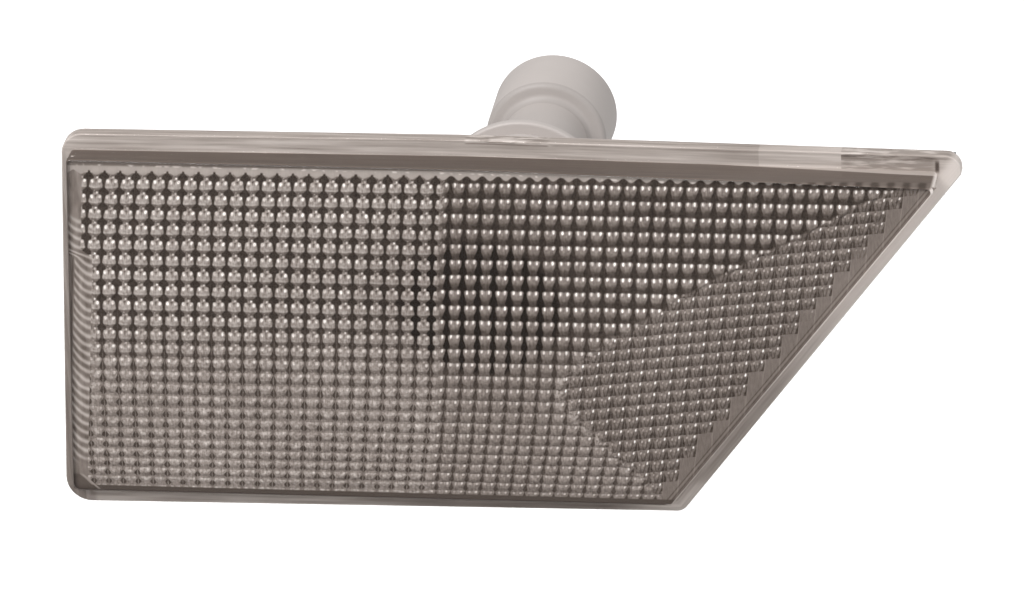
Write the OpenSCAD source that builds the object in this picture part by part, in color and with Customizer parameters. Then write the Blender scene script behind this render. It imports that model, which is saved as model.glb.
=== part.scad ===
// Side repeater lamp for a car's front wing: clear lens with pillow optics,
// moulded housing, foam gasket, spring clip and a push-in wedge-bulb holder.
// The bulb axis is the Y axis. The lens looks along -Y, the connector along +Y,
// Z is up, and Y = 0 is the rear face of the housing flange.

/* [Lens outline] */
// Bulb axis to the top edge of the lens
top_h = 19.2; // [17:0.1:22]
// Drop of the top edge towards the pointed end
top_drop = 0.9; // [0:0.1:3]
// Bulb axis to the bottom edge of the lens
bottom_h = 21.1; // [18:0.1:24]
// Rise of the bottom edge towards its right end
bottom_rise = 0.3; // [0:0.1:2]
// Bulb axis to the left edge, measured at the height of the axis
left_w = 42.6; // [36:0.1:50]
// Lean of the left edge in degrees
left_lean = 2.6; // [0:0.1:6]
// Bulb axis to the pointed right end
tip_w = 48.5; // [42:0.1:56]
// Bulb axis to the right end of the bottom edge
toe_w = 19.7; // [12:0.1:28]
// Height of the short upright end above the slanting edge
tip_h = 2.0; // [1:0.1:4]
// Radius of the top left corner
corner_tl = 2.2; // [1:0.1:4]
// Radius of the bottom left corner
corner_bl = 2.6; // [1:0.1:4]
// Radius of the bottom right corner
corner_br = 1.4; // [0.8:0.1:3]
// Radius at the upper tip
corner_tr = 1.6; // [0.8:0.1:1.8]

/* [Lens body] */
// Thickness of the lens flange
lens_flange_t = 1.5; // [1:0.1:2.5]
// Width of the flange round the raised centre
flange_w = 1.7; // [1.2:0.1:3]
// Width of the flange at the left end
flange_left = 0.9; // [0.7:0.1:3]
// How far the raised centre stands out, on the bulb axis
raise_h = 3.0; // [2.4:0.1:5]
// Tilt of the front face across the lamp in degrees
tilt_across = 1.2; // [0:0.1:1.6]
// Tilt of the front face up the lamp in degrees
tilt_up = 2.0; // [0:0.1:2.4]
// Wall thickness of the front face
lens_t = 1.6; // [1.2:0.1:2.4]
// Wall thickness of the rim round the front face
lens_rim_t = 1.2; // [1:0.1:2]

/* [Optics] */
// Column pitch of the pillows
pillow_w = 1.6; // [1.2:0.1:3]
// Row pitch in the upper half
pillow_h_top = 1.67; // [1.3:0.01:3]
// Row pitch at the bottom edge
pillow_h_bottom = 0.92; // [0.8:0.02:2]
// Height at which the row pitch starts to fall
grade_z = 1.0; // [-4:0.5:6]
// How far a pillow stands off its valley
pillow_relief = 0.4; // [0.2:0.05:0.7]
// Rise of a pillow's crest above its middle in the right field, as a share of its height
crest_shift = 0.15; // [0:0.05:0.3]
// Distance of the seam between the left and right fields to the left of the bulb axis
seam_left = 3.0; // [0:0.5:8]
// Thickness of the optic layer under the valleys
optic_base = 0.2; // [0.1:0.05:0.4]
// Clear border between the rim and the pillows, at the top, at the bottom and on the slant
optic_border = 0.7; // [0.3:0.1:2]
// Width of the fluted strip at the left end
flute_w = 0.6; // [0.4:0.1:3]
// Pitch of the flutes
flute_h = 1.0; // [0.6:0.1:1.6]
// Depth of the flutes
flute_d = 0.3; // [0.1:0.05:0.5]
// Rise of the rows in the wedge field, in degrees
wedge_slope = 6.5; // [0:0.5:10]
// Seam before the wedge field: its leftmost point to the right of the bulb axis
wedge_x = 9.0; // [4:0.5:14]
// Height of that point
wedge_z = -7.5; // [-12:0.5:0]
// How fast the seam swings to the right above and below that point
wedge_curve = 0.083; // [0.05:0.001:0.12]

/* [Housing] */
// Thickness of the housing flange
seat_t = 1.0; // [0.8:0.1:2]
// Step from the lens edge in to the housing flange
seat_step = 0.45; // [0.3:0.05:1]
// Distance from the lens edge in to the tray wall
tray_inset = 6.5; // [6:0.1:8]
// Depth of the tray behind the flange
tray_d = 12; // [9:0.5:16]
// Wall thickness of the tray
tray_wall = 1.6; // [1.2:0.1:2.4]
// Radius of the tray corners
tray_corner = 2.5; // [1.8:0.1:4]
// Outer radius of the bulb port
port_r = 7.6; // [7.4:0.1:8.2]
// Wall thickness of the bulb port
port_wall = 1.4; // [1.1:0.1:1.8]
// Rear end of the bulb port behind the flange
port_end = 28.0; // [24:0.5:34]
// Number of ribs between port and tray floor
port_ribs = 6; // [3:1:8]
// Thickness of a port rib
rib_t = 1.2; // [0.8:0.1:2]
// How far a port rib reaches out from the port along the tray floor
rib_reach = 5; // [3:0.5:8]
// Distance from the end of a port rib to the rear end of the port
rib_end = 8; // [6:0.5:14]
// Height of a port rib's outer end above the tray floor
rib_foot = 0.6; // [0.3:0.1:1.5]

/* [Fixing] */
// Thickness of the foam gasket
gasket_t = 1.5; // [1:0.1:1.6]
// Width of the foam gasket
gasket_w = 1.6; // [1.2:0.1:1.7]
// Gap between the gasket and the tray wall
gasket_gap = 3.7; // [3.5:0.1:3.9]
// Thickness of the wing panel that the lamp clips into
panel_t = 0.9; // [0.7:0.1:1.5]
// Width of the spring clip and of its pad
clip_w = 11; // [8:0.5:14]
// Thickness of the clip steel
clip_t = 0.4; // [0.3:0.1:0.5]
// How far the clip's barb stands out from the pad
clip_reach = 1.7; // [1.4:0.1:1.7]
// Height of the pad under the clip
pad_h = 1.0; // [0.8:0.1:1]
// Length of the clip's flat foot at the barb's rear end
clip_foot = 0.8; // [0.6:0.1:1]
// Length of the barb's lip
clip_lip = 0.6; // [0.4:0.1:0.8]
// Radius of the rivet stem that holds the clip
rivet_r = 1.1; // [0.8:0.1:1.5]
// Radius of the rivet's flat head
rivet_head_r = 1.9; // [1.5:0.1:2.6]
// Thickness of the rivet's flat head
rivet_head_t = 0.4; // [0.3:0.1:0.6]
// Distance of the rivet behind the middle of the pad
rivet_back = 1.0; // [0:0.1:2]
// Width of the fixed hook at the pointed end
hook_w = 5.0; // [3:0.5:7]
// How far the fixed hook reaches past the tray wall
hook_reach = 3.2; // [2:0.1:3.4]
// Thickness of the fixed hook
hook_t = 2.0; // [1.5:0.1:3]

/* [Vent] */
// Distance of the vent tube to the right of the bulb axis
vent_x = 19; // [16:0.5:22]
// Outer radius of the vent tube
vent_r = 1.9; // [1.6:0.1:2.4]
// Bore radius of the vent tube
vent_bore_r = 1.0; // [0.8:0.1:1.2]
// Length of the vent tube
vent_len = 4.5; // [3:0.5:6]
// Wall thickness of the vent cap
cap_wall = 0.9; // [0.7:0.1:1.4]
// Length of the vent cap's skirt over the tube
cap_skirt = 3.0; // [2:0.5:4]
// Rounding of the vent cap's rear edge
cap_round = 0.5; // [0.3:0.1:0.7]

/* [Bulb holder] */
// Clearance between the holder's plug and the bulb port
plug_fit = 0.2; // [0.1:0.05:0.3]
// Length of the plug in front of the collar
plug_len = 11; // [9:0.5:13]
// Radius of the collar
collar_r = 9.3; // [8.8:0.1:11]
// Thickness of the collar
collar_t = 1.1; // [0.8:0.1:2]
// Radius of the neck
neck_r = 4.5; // [4.3:0.1:5.2]
// Length of the neck behind the collar
neck_len = 16; // [10:0.5:20]
// Fillet between neck and drum
neck_fillet = 0.8; // [0.3:0.1:1.2]
// Radius of the connector drum at its rear edge
drum_r = 6.4; // [6.1:0.1:7.5]
// Draft of the drum, taken off its front radius
drum_draft = 0.15; // [0:0.05:0.4]
// Length of the connector drum
drum_len = 8.4; // [7.5:0.1:12]
// Wall thickness of the connector drum
drum_wall = 1.2; // [1:0.1:1.6]
// Rounding of the drum's edges
drum_round = 0.6; // [0.3:0.1:0.9]
// Section radius of the sealing ring
ring_r = 0.6; // [0.4:0.05:0.7]

/* [Bulb and contacts] */
// Radius of the bulb glass
bulb_r = 5.0; // [4.6:0.05:5.1]
// Thickness of the bulb glass
bulb_wall = 0.6; // [0.4:0.1:0.9]
// Overall length of the bulb
bulb_len = 26.8; // [24:0.2:27]
// Length of the flat wedge base
wedge_len = 8.0; // [7:0.2:9]
// Width of the wedge base
wedge_w = 9.2; // [8:0.1:9.4]
// Thickness of the wedge base
wedge_t = 2.1; // [1.8:0.1:2.4]
// Length over which the glass is pressed from round to flat
press_len = 1.9; // [1.4:0.1:2.5]
// Half the distance between the two lead wires
lead_x = 2.7; // [2.65:0.05:3.0]
// Radius of a lead wire
lead_r = 0.2; // [0.15:0.05:0.3]
// Distance of the filament behind the bulb's tip
light_back = 9.5; // [8:0.5:12]
// Radius of the filament coil
filament_r = 0.3; // [0.2:0.05:0.45]
// Thickness of a contact spring
spring_t = 0.4; // [0.3:0.05:0.5]
// Width of a contact spring's leaf
leaf_w = 3.2; // [2.4:0.1:3.6]
// Length of the taper at the blade's tip
blade_point = 1.0; // [0.6:0.1:1.6]
// Width of a contact blade
blade_w = 2.8; // [2:0.1:3.2]
// Thickness of a contact blade
blade_t = 0.8; // [0.6:0.1:0.9]
// Distance from a blade's tip to the drum's rear edge
blade_sunk = 1.4; // [1:0.1:2]

/* [Hidden] */
$fn = 96;

clear = 0.1;
eps = 0.02;
graze = 0.005;
spill = 1;
tray_end_gap = 1;
least_tip = 0.6;
least_r = 0.4;
lens_back = -seat_t;
lens_front = lens_back - lens_flange_t;
plug_r = port_r - port_wall - plug_fit;
collar_back = port_end + collar_t;
drum_front = collar_back + neck_len;
drum_back = drum_front + drum_len;
socket_floor = drum_front + drum_wall;
plug_front = port_end - plug_len;
slot_floor = port_end - spring_t;
wedge_end = slot_floor - 2 * clear;
bulb_tip = wedge_end - bulb_len;
wedge_front = wedge_end - wedge_len;
ring_y = port_end - 2.4;
ring_path_r = plug_r + plug_fit - clear - ring_r;
blade_tip = drum_back - blade_sunk;
light_y = bulb_tip + light_back;

// Corner points of the lens outline, clockwise from the top left
left_foot = left_w + bottom_h * tan(left_lean);
left_head = left_w - top_h * tan(left_lean);
OUTLINE = [
    [-left_head, top_h],
    [0, top_h],
    [tip_w, top_h - top_drop],
    [tip_w, top_h - top_drop - tip_h],
    [toe_w, -bottom_h + bottom_rise],
    [-left_foot, -bottom_h]];
// Outline whose inset by flange_w leaves flange_left at the left end
wider = (flange_w - flange_left) / cos(left_lean);
RAISED = [
    OUTLINE[0] - [wider, 0],
    OUTLINE[1],
    OUTLINE[2],
    OUTLINE[3],
    OUTLINE[4],
    OUTLINE[5] - wider * dir(OUTLINE[5], OUTLINE[4])];
CORNERS = [corner_tl, 0, corner_tr, 0.3, corner_br, corner_bl];

// Unit direction from a to b
function dir(a, b) = (b - a) / norm(b - a);
// Right-hand normal of a direction, which points into a clockwise outline
function inward(d) = [d[1], -d[0]];
// Corner i of outline p moved inwards by w along its bisector
function inset_corner(p, i, w) =
    let (n = len(p), a = p[(i + n - 1) % n], b = p[i], c = p[(i + 1) % n],
         n1 = inward(dir(a, b)), n2 = inward(dir(b, c)), m = n1 + n2)
    b + w * m * 2 / (m * m);
function inset(p, w) = [for (i = [0:len(p) - 1]) inset_corner(p, i, w)];
// The short upright tip vanishes behind the slanting edge further in
function trim_tip(p) = p[2][1] > p[3][1] + least_tip ? p : [p[0], p[1], meet(p[1], p[2], p[3], p[4]), p[4], p[5]];
function trim_corners(p, c) = p[2][1] > p[3][1] + least_tip ? c : [c[0], c[1], c[2], c[4], c[5]];
// Crossing point of line ab and line cd
function meet(a, b, c, d) =
    let (r = b - a, s = d - c, q = c - a)
    a + r * (q[0] * s[1] - q[1] * s[0]) / (r[0] * s[1] - r[1] * s[0]);
// Half of the turn at corner i
function half_turn(p, i) =
    let (n = len(p), d1 = dir(p[(i + n - 1) % n], p[i]), d2 = dir(p[i], p[(i + 1) % n]))
    acos(min(1, d1 * d2)) / 2;

// Polygon with each corner cut back to an exact arc, which stands out by graze where it meets the edges
module rounded(p, radii) {
    n = len(p);
    difference() {
        polygon(p);
        for (i = [0:n - 1])
            if (radii[i] > 0) difference() {
                t = radii[i] * tan(half_turn(p, i));
                d1 = dir(p[(i + n - 1) % n], p[i]);
                d2 = dir(p[i], p[(i + 1) % n]);
                a = p[i] - t * d1;
                b = p[i] + t * d2;
                polygon([a, a - spill * inward(d1), inset_corner(p, i, -spill), b - spill * inward(d2), b]);
                translate(inset_corner(p, i, radii[i] - graze)) circle(radii[i], $fn = 48);
            }
    }
}

// Lens outline, or the raised centre's, moved inwards by w, with corners that follow
module outline(w, plan = OUTLINE) {
    p = inset(plan, w);
    rounded(trim_tip(p), trim_corners(p, [for (i = [0:5]) CORNERS[i] == 0 ? 0 : i == 3 ? CORNERS[3] :
        max(least_r, CORNERS[i] - w)]));
}

// Flat shape in X and Z extruded from y0 to y1
module along_y(y0, y1) {
    translate([0, y1, 0]) rotate([90, 0, 0]) linear_extrude(y1 - y0) children();
}

// Profile of radius and Y turned round the Y axis
module turned() {
    rotate([-90, 0, 0]) rotate_extrude() children();
}

// Y of the tilted front face at x and z, moved back by t
function face_y(x, z, t) = lens_front - raise_h - x * tan(tilt_across)
    - z * tan(tilt_up) / cos(tilt_across) + t / (cos(tilt_across) * cos(tilt_up));

// Everything behind the tilted front face, moved back by t
module behind_face(t) {
    size = 4 * tip_w;
    translate([0, face_y(0, 0, t), 0]) rotate([tilt_up, 0, -tilt_across])
        translate([-size / 2, 0, -size / 2]) cube(size);
}

module lens_shell() {
    reach = 3 * raise_h;
    difference() {
        union() {
            along_y(lens_front, lens_back) outline(0);
            intersection() {
                along_y(lens_front - reach, lens_back) outline(flange_w, RAISED);
                behind_face(0);
            }
        }
        intersection() {
            along_y(lens_front - reach, lens_back + eps) outline(flange_w + lens_rim_t, RAISED);
            behind_face(lens_t);
        }
    }
}

// Field of pillows: columns run along the left edge, rows get lower below grade_z and bend up past the seam
rim_in = inset(RAISED, flange_w + lens_rim_t);
field = inset(RAISED, flange_w + lens_rim_t + optic_border);
field_top = field[2][1];
field_bottom = field[5][1];
lean = tan(left_lean);
// Left end of the field on the height of the axis
field_left = rim_in[0][0] - rim_in[0][1] * lean + flute_w;
function pitch(z) = z > grade_z ? pillow_h_top
    : pillow_h_top - (pillow_h_top - pillow_h_bottom) * (grade_z - z) / (grade_z - field_bottom);
function lines(z) = z - pitch(z) < field_bottom ? [z] : concat([z], lines(z - pitch(z)));
ROW_Z = lines(field_top);
rows = len(ROW_Z) - 1;
last_z = ROW_Z[rows];
// Right end of the field at height z
function field_right(z) = meet(field[3], field[4], [0, z], [1, z])[0];
// Seam where the rows start to bend
function seam_x(z) = wedge_x + wedge_curve * (z - wedge_z) * (z - wedge_z);
function bend(x, z) = max(0, x - seam_x(z)) * tan(wedge_slope);
function bent_z(x, z) = min(z + bend(x, z) * (field_top - z) / (field_top - last_z), field_top);
function col_x(i, z) = field_left + i * pillow_w + z * lean;
cols = [for (j = [0:rows - 1]) floor((field_right(ROW_Z[j + 1]) - col_x(0, ROW_Z[j + 1])) / pillow_w)];

// Points of the optic layer: lattice corners, then pillow crests, then the flat front
function grid_pt(i, j, t) = let (x = col_x(i, ROW_Z[j]), z = bent_z(x, ROW_Z[j])) [x, face_y(x, z, t), z];
most = max(cols);
function corner_id(i, j) = j * (most + 1) + i;
centre_0 = (rows + 1) * (most + 1);
function centre_id(i, j) = centre_0 + j * most + i;
front_0 = centre_0 + rows * most;
// Crest of a pillow: its middle on the left of the field seam, further up on its right
function crest_pt(i, j, t) =
    let (high = (grid_pt(i, j, t) + grid_pt(i + 1, j, t)) / 2, low = (grid_pt(i, j + 1, t) + grid_pt(i + 1, j + 1, t)) / 2,
         share = high[0] < -seam_left ? 0.5 : 0.5 + crest_shift)
    high * share + low * (1 - share);

module optics() {
    sunk = lens_t / 4;
    valley = lens_t + optic_base;
    crest = valley + pillow_relief;
    points = concat(
        [for (j = [0:rows]) for (i = [0:most]) grid_pt(i, j, valley)],
        [for (j = [0:rows - 1]) for (i = [0:most - 1]) crest_pt(i, j, crest)],
        [for (j = [0:rows]) for (i = [0:most]) grid_pt(i, j, lens_t - sunk)]);
    pillows = [for (j = [0:rows - 1]) for (i = [0:cols[j] - 1])
        let (a = corner_id(i, j), b = corner_id(i + 1, j), c = corner_id(i + 1, j + 1), d = corner_id(i, j + 1),
             m = centre_id(i, j))
        each [[b, a, m], [c, b, m], [d, c, m], [a, d, m]]];
    backs = [for (j = [0:rows - 1]) for (i = [0:cols[j] - 1])
        let (a = front_0 + corner_id(i, j), b = front_0 + corner_id(i + 1, j),
             c = front_0 + corner_id(i + 1, j + 1), d = front_0 + corner_id(i, j + 1))
        each [[a, b, c], [a, c, d]]];
    // One wall where a cell has no neighbour
    function wall(a, b) = [[front_0 + b, front_0 + a, a], [b, front_0 + b, a]];
    top = [for (i = [0:cols[0] - 1]) each wall(corner_id(i, 0), corner_id(i + 1, 0))];
    steps = [for (j = [0:rows - 1]) for (i = [(j == rows - 1 ? 0 : cols[j + 1]):1:cols[j] - 1])
        each wall(corner_id(i + 1, j + 1), corner_id(i, j + 1))];
    left = [for (j = [0:rows - 1]) each wall(corner_id(0, j + 1), corner_id(0, j))];
    right = [for (j = [0:rows - 1]) each wall(corner_id(cols[j], j), corner_id(cols[j], j + 1))];
    polyhedron(points, concat(pillows, backs, top, steps, left, right), convexity = 8);
}

// Saw-tooth flutes on the border at the left end
module flutes() {
    high = rim_in[0][1] - corner_tl;
    count = floor((high - field_bottom) / flute_h);
    root = face_y(0, 0, lens_t - optic_base);
    teeth = [for (k = [0:count - 1]) let (z = high - k * flute_h) each [
        [root + optic_base + flute_d - z * tan(tilt_up), z],
        [root + optic_base - (z - flute_h) * tan(tilt_up), z - flute_h + eps]]];
    foot = high - count * flute_h;
    right = field_left - 2 * clear;
    strip = [[right - flute_w + high * lean, high], [right + high * lean, high],
        [right + foot * lean, foot], [right - flute_w + foot * lean, foot]];
    intersection() {
        along_y(lens_front - raise_h, lens_back) polygon(strip);
        rotate([0, 0, -tilt_across]) translate([-2 * left_w, 0, 0]) rotate([90, 0, 90]) linear_extrude(2 * left_w)
            polygon(concat([[root - foot * tan(tilt_up), foot - eps], [root - high * tan(tilt_up), high]], teeth));
    }
}

module lens() {
    color([0.86, 0.86, 0.85, 0.45]) union() {
        lens_shell();
        optics();
        flutes();
    }
}

// Plan of the tray wall, moved inwards by w
module tray_plan(w) {
    p = trim_tip(inset(OUTLINE, tray_inset + w));
    rounded(p, [for (i = [0:len(p) - 1]) i == 1 ? 0 : max(least_tip, tray_corner - w)]);
}

// X of the left tray wall at the height of the bulb axis
tray_left = -left_w + tray_inset / cos(left_lean);
pad_x = tray_left - pad_h - clip_w / 2 * tan(left_lean);
pad_front = gasket_t + panel_t;
pad_back = tray_d - tray_end_gap;
rivet_y = (pad_front + pad_back) / 2 + rivet_back;
// The hook sits on the slanting wall, low enough to stay behind the lens
tray_tip = trim_tip(inset(OUTLINE, tray_inset))[2];
hook_top = tray_tip[1] - tray_corner;
hook_x = meet(inset(OUTLINE, tray_inset)[3], inset(OUTLINE, tray_inset)[4], [0, hook_top - hook_w], [1, hook_top - hook_w])[0];
hook_front = gasket_t + panel_t + 2 * clear;

module port_rib(angle) {
    foot = port_r + rib_reach;
    rotate([0, -angle, 0]) translate([0, 0, -rib_t / 2])
        linear_extrude(rib_t) polygon([[port_r - port_wall / 2, tray_d - tray_wall / 2],
            [foot, tray_d - tray_wall / 2], [foot, tray_d + rib_foot],
            [port_r + rib_t / 3, port_end - rib_end], [port_r - port_wall / 2, port_end - rib_end]]);
}

module housing() {
    color([0.80, 0.79, 0.78]) difference() {
        union() {
            difference() {
                union() {
                    along_y(lens_back, 0) outline(seat_step);
                    along_y(lens_back, tray_d) tray_plan(0);
                }
                along_y(lens_back - eps, tray_d - tray_wall) tray_plan(tray_wall);
            }
            along_y(tray_d - tray_wall, port_end) circle(port_r);
            for (k = [0:port_ribs - 1]) port_rib(k * 360 / port_ribs + 30);
            // Pad that carries the spring clip
            translate([pad_x, pad_front, -clip_w / 2])
                cube([tray_left + tray_wall / 2 - pad_x, pad_back - pad_front, clip_w]);
            // Fixed hook at the pointed end
            translate([hook_x - tray_wall, hook_front, hook_top - hook_w])
                cube([tray_wall + hook_reach, hook_t, hook_w]);
            // Vent tube
            along_y(tray_d - tray_wall / 2, tray_d + vent_len) translate([vent_x, 0]) circle(vent_r, $fn = 48);
        }
        along_y(0, port_end + eps) circle(port_r - port_wall);
        along_y(0, tray_d + vent_len + eps) translate([vent_x, 0]) circle(vent_bore_r, $fn = 48);
        // Hole for the clip's rivet stem
        translate([pad_x - eps, rivet_y, 0]) rotate([0, 90, 0])
            cylinder(r = rivet_r, h = pad_h + tray_wall / 2, $fn = 32);
    }
}

module gasket() {
    color([0.16, 0.16, 0.16]) along_y(0, gasket_t) difference() {
        polygon(trim_tip(inset(OUTLINE, tray_inset - gasket_gap - gasket_w)));
        tray_plan(-gasket_gap);
    }
}

module spring_clip() {
    barb_y = gasket_t + panel_t + clear;
    skin = pad_x - clip_t;
    out = skin - clip_reach;
    knee_y = barb_y + 1.2 * clip_lip;
    color([0.72, 0.72, 0.70]) union() {
        translate([0, 0, -clip_w / 2]) linear_extrude(clip_w) polygon([
            [pad_x, pad_front], [pad_x, pad_back + clip_t], [skin - clip_foot, pad_back + clip_t],
            [out, knee_y], [out + clip_lip, barb_y], [out + clip_lip + clip_t, barb_y + clip_t / 2],
            [out + 1.5 * clip_t, knee_y + clip_t / 4],
            [skin - clip_foot + clip_t / 2, pad_back], [skin, pad_back], [skin, pad_front]]);
        // Stem and flat head of the rivet
        translate([skin - rivet_head_t, rivet_y, 0]) rotate([0, 90, 0]) {
            cylinder(r = rivet_head_r, h = rivet_head_t + clear, $fn = 48);
            cylinder(r = rivet_r, h = rivet_head_t + clip_t + pad_h + tray_wall / 2 - clear, $fn = 32);
        }
    }
}

module vent_cap() {
    back = tray_d + vent_len;
    bore = vent_r + clear;
    cap_r = bore + cap_wall;
    cap_end = back + clear + cap_wall;
    color([0.14, 0.14, 0.14]) translate([vent_x, 0, 0]) turned() difference() {
        union() {
            translate([0, back - cap_skirt]) square([cap_r, cap_end - cap_round - back + cap_skirt]);
            translate([0, back]) square([cap_r - cap_round, cap_end - back]);
            translate([cap_r - cap_round, cap_end - cap_round]) circle(cap_round, $fn = 32);
        }
        translate([-cap_r, back - 2 * cap_skirt]) square([cap_r + bore, 2 * cap_skirt + clear]);
        translate([-cap_r, back - cap_skirt]) square([cap_r, 3 * cap_skirt]);
    }
}

// Slot for the wedge base and the two contact springs
slot_w = wedge_w + 2 * clear;
slot_t = wedge_t + 2 * (spring_t + clear);

module bulb_holder() {
    front_r = drum_r - drum_draft;
    socket_r = drum_r - drum_wall;
    color([0.86, 0.85, 0.83]) difference() {
        turned() difference() {
            union() {
                translate([0, plug_front]) square([plug_r, port_end - plug_front]);
                translate([0, port_end]) square([collar_r, collar_t]);
                translate([0, port_end]) square([neck_r, drum_front - port_end + drum_round]);
                // Fillet from neck to drum
                difference() {
                    translate([0, drum_front - neck_fillet]) square([neck_r + neck_fillet, neck_fillet + eps]);
                    translate([neck_r + neck_fillet, drum_front - neck_fillet]) circle(neck_fillet, $fn = 48);
                }
                // Drum with rounded edges
                polygon([[0, drum_front], [front_r - drum_round, drum_front], [front_r, drum_front + drum_round],
                    [drum_r, drum_back - drum_round], [drum_r - drum_round, drum_back], [0, drum_back]]);
                translate([front_r - drum_round, drum_front + drum_round]) circle(drum_round, $fn = 48);
                translate([drum_r - drum_round, drum_back - drum_round]) circle(drum_round, $fn = 48);
            }
            translate([0, socket_floor]) square([socket_r, drum_len]);
            translate([0, plug_front - eps]) square([bulb_r + 1.5 * clear, wedge_front - plug_front + press_len / 4]);
            // Groove for the sealing ring
            translate([ring_path_r - ring_r, ring_y - ring_r - clear])
                square([plug_r, 2 * (ring_r + clear)]);
            translate([-1, plug_front - 1]) square([1, drum_back]);
        }
        translate([-slot_w / 2, plug_front, -slot_t / 2])
            cube([slot_w, slot_floor - plug_front, slot_t]);
        for (side = [-1, 1])
            translate([side * lead_x - blade_t / 2 - clear, slot_floor - eps, -blade_w / 2 - clear])
                cube([blade_t + 2 * clear, socket_floor - slot_floor + 2 * eps, blade_w + 2 * clear]);
    }
}

module seal_ring() {
    color([0.12, 0.12, 0.12]) turned() translate([ring_path_r, ring_y]) circle(ring_r, $fn = 32);
}

// Blade for the plug, with a leaf on each side of the wedge
module contact(side) {
    leaf_front = wedge_front + 2 * spring_t;
    root_y = slot_floor - clear;
    color([0.78, 0.70, 0.42]) union() {
        translate([side * lead_x - blade_t / 2, wedge_end + clear, -blade_w / 2])
            cube([blade_t, blade_tip - blade_point - wedge_end - clear, blade_w]);
        // Tapered blade tip
        translate([side * lead_x - blade_t / 2, 0, 0]) rotate([90, 0, 90]) linear_extrude(blade_t)
            polygon([[blade_tip - blade_point - eps, -blade_w / 2], [blade_tip - blade_point - eps, blade_w / 2],
                [blade_tip, blade_w / 4], [blade_tip, -blade_w / 4]]);
        for (face = [-1, 1])
            translate([side * lead_x - leaf_w / 2, leaf_front, face > 0 ? wedge_t / 2 : -wedge_t / 2 - spring_t])
                cube([leaf_w, root_y - leaf_front, spring_t]);
        translate([side * lead_x - leaf_w / 2, root_y - spring_t / 2, -wedge_t / 2 - spring_t])
            cube([leaf_w, spring_t / 2, wedge_t + 2 * spring_t]);
    }
}

module contact_left() {
    contact(-1);
}

module contact_right() {
    contact(1);
}

module bulb_glass() {
    inner_r = bulb_r - bulb_wall;
    neck_y = wedge_front + press_len / 4 - press_len;
    press_y = wedge_front + press_len / 4;
    color([0.85, 0.86, 0.86, 0.4]) difference() {
        union() {
            turned() difference() {
                union() {
                    translate([0, bulb_tip + bulb_r]) square([bulb_r, neck_y - bulb_tip - bulb_r]);
                    translate([0, bulb_tip + bulb_r]) circle(bulb_r);
                    polygon([[0, neck_y], [bulb_r, neck_y], [wedge_t / 2, press_y], [0, press_y]]);
                }
                translate([0, bulb_tip + bulb_r]) circle(inner_r);
                translate([0, bulb_tip + bulb_r]) square([inner_r, neck_y - bulb_tip - bulb_r]);
                translate([-2 * bulb_r, 0]) square([2 * bulb_r, port_end]);
            }
            translate([-wedge_w / 2, neck_y + press_len / 2, -wedge_t / 2])
                cube([wedge_w, wedge_end - neck_y - press_len / 2, wedge_t]);
        }
        for (side = [-1, 1]) lead_bore(side, lead_r);
    }
}

module lead_bore(side, r) {
    translate([side * lead_x, 0, 0]) turned_wire(light_y, wedge_end + eps, r);
}

module turned_wire(y0, y1, r) {
    translate([0, y1, 0]) rotate([90, 0, 0]) cylinder(r = r, h = y1 - y0, $fn = 24);
}

module bulb_leads() {
    color([0.70, 0.70, 0.70]) for (side = [-1, 1])
        translate([side * lead_x, 0, 0]) turned_wire(light_y - 3 * lead_r, wedge_end, lead_r);
}

module filament() {
    half = lead_x - lead_r;
    color([0.55, 0.55, 0.55]) translate([-half, light_y - lead_r, 0]) rotate([0, 90, 0])
        cylinder(r = filament_r, h = 2 * half, $fn = 24);
}

lens();
housing();
gasket();
spring_clip();
vent_cap();
bulb_holder();
seal_ring();
contact_left();
contact_right();
bulb_glass();
bulb_leads();
filament();
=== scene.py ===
"""Looks of a side repeater lamp: clear lens with pillow optics, grey housing and bulb holder."""
import math

import bpy
import numpy as np
from mathutils import Matrix, Vector


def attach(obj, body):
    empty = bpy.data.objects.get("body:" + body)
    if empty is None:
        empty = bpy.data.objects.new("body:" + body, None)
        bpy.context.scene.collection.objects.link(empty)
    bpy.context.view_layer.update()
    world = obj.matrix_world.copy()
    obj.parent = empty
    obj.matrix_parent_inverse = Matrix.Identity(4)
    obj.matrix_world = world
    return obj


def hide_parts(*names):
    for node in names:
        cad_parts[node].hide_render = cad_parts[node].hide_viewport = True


bl_info = {
    "name": "Side Repeater Lamp",
    "version": (1, 0, 0),
    "blender": (4, 5, 0),
    "location": "3D View > Sidebar > Lamp",
    "description": "Builds the surfaces and finishes of a side repeater lamp over its frame",
    "category": "Add Mesh",
}

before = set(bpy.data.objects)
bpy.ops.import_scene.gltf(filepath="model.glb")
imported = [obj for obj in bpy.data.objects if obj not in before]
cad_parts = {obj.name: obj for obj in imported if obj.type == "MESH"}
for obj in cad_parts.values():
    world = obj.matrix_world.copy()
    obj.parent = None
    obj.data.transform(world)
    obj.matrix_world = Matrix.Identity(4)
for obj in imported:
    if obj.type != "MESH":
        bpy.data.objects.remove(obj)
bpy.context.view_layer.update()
MM = 0.001

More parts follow.
